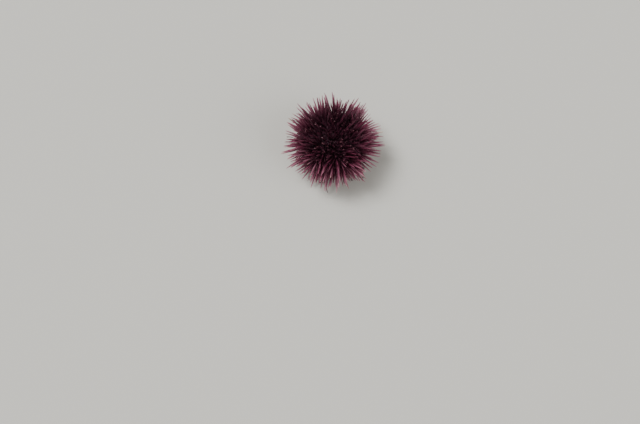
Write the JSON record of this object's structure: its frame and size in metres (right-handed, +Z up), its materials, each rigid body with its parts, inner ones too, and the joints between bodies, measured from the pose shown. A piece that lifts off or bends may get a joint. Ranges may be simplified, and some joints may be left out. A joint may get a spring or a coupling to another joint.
{
  "type": "purple sea urchin",
  "caption": "Purple sea urchin at life size, resting mouth down: a low round test under a dense coat of tapered spines, with tube feet, crown plates, gills and a toothed mouth.",
  "frame": {"origin": "on the floor under the middle of the spines, which is within a millimetre or two of the urchin's own axis", "axes": "+Z up along the urchin's axis, from the mouth to the crown; -Y faces the camera's side; +X to the camera's right"},
  "size_m": [0.0868, 0.0854, 0.0467],
  "materials": {
    "spiny_skin": "satin, magenta purple spines on a dark plum test",
    "ambulacrum_skin": "satin, magenta purple spines and dark tube feet with pale suckers",
    "crown_plate": "matt, fine grained plum plates",
    "mouth_membrane": "soft satin, dark maroon membrane",
    "tooth": "smooth ivory white",
    "gill": "soft, moist, brownish maroon"
  },
  "bodies": {
    "root": {"ambulacrum_1": "ambulacrum_skin", "ambulacrum_2": "ambulacrum_skin", "ambulacrum_3": "ambulacrum_skin", "ambulacrum_4": "ambulacrum_skin", "ambulacrum_5": "ambulacrum_skin", "interambulacrum_1": "spiny_skin", "interambulacrum_2": "spiny_skin", "interambulacrum_3": "spiny_skin", "interambulacrum_4": "spiny_skin", "interambulacrum_5": "spiny_skin", "madreporite": "crown_plate", "genital_plate_2": "crown_plate", "genital_plate_3": "crown_plate", "genital_plate_4": "crown_plate", "genital_plate_5": "crown_plate", "ocular_plate_1": "crown_plate", "ocular_plate_2": "crown_plate", "ocular_plate_3": "crown_plate", "ocular_plate_4": "crown_plate", "ocular_plate_5": "crown_plate", "periproct": "crown_plate", "peristome": "mouth_membrane", "mouth": "tooth", "gill_1a": "gill", "gill_1b": "gill", "gill_2a": "gill", "gill_2b": "gill", "gill_3a": "gill", "gill_3b": "gill", "gill_4a": "gill", "gill_4b": "gill", "gill_5a": "gill", "gill_5b": "gill"}
  },
  "joints": []
}
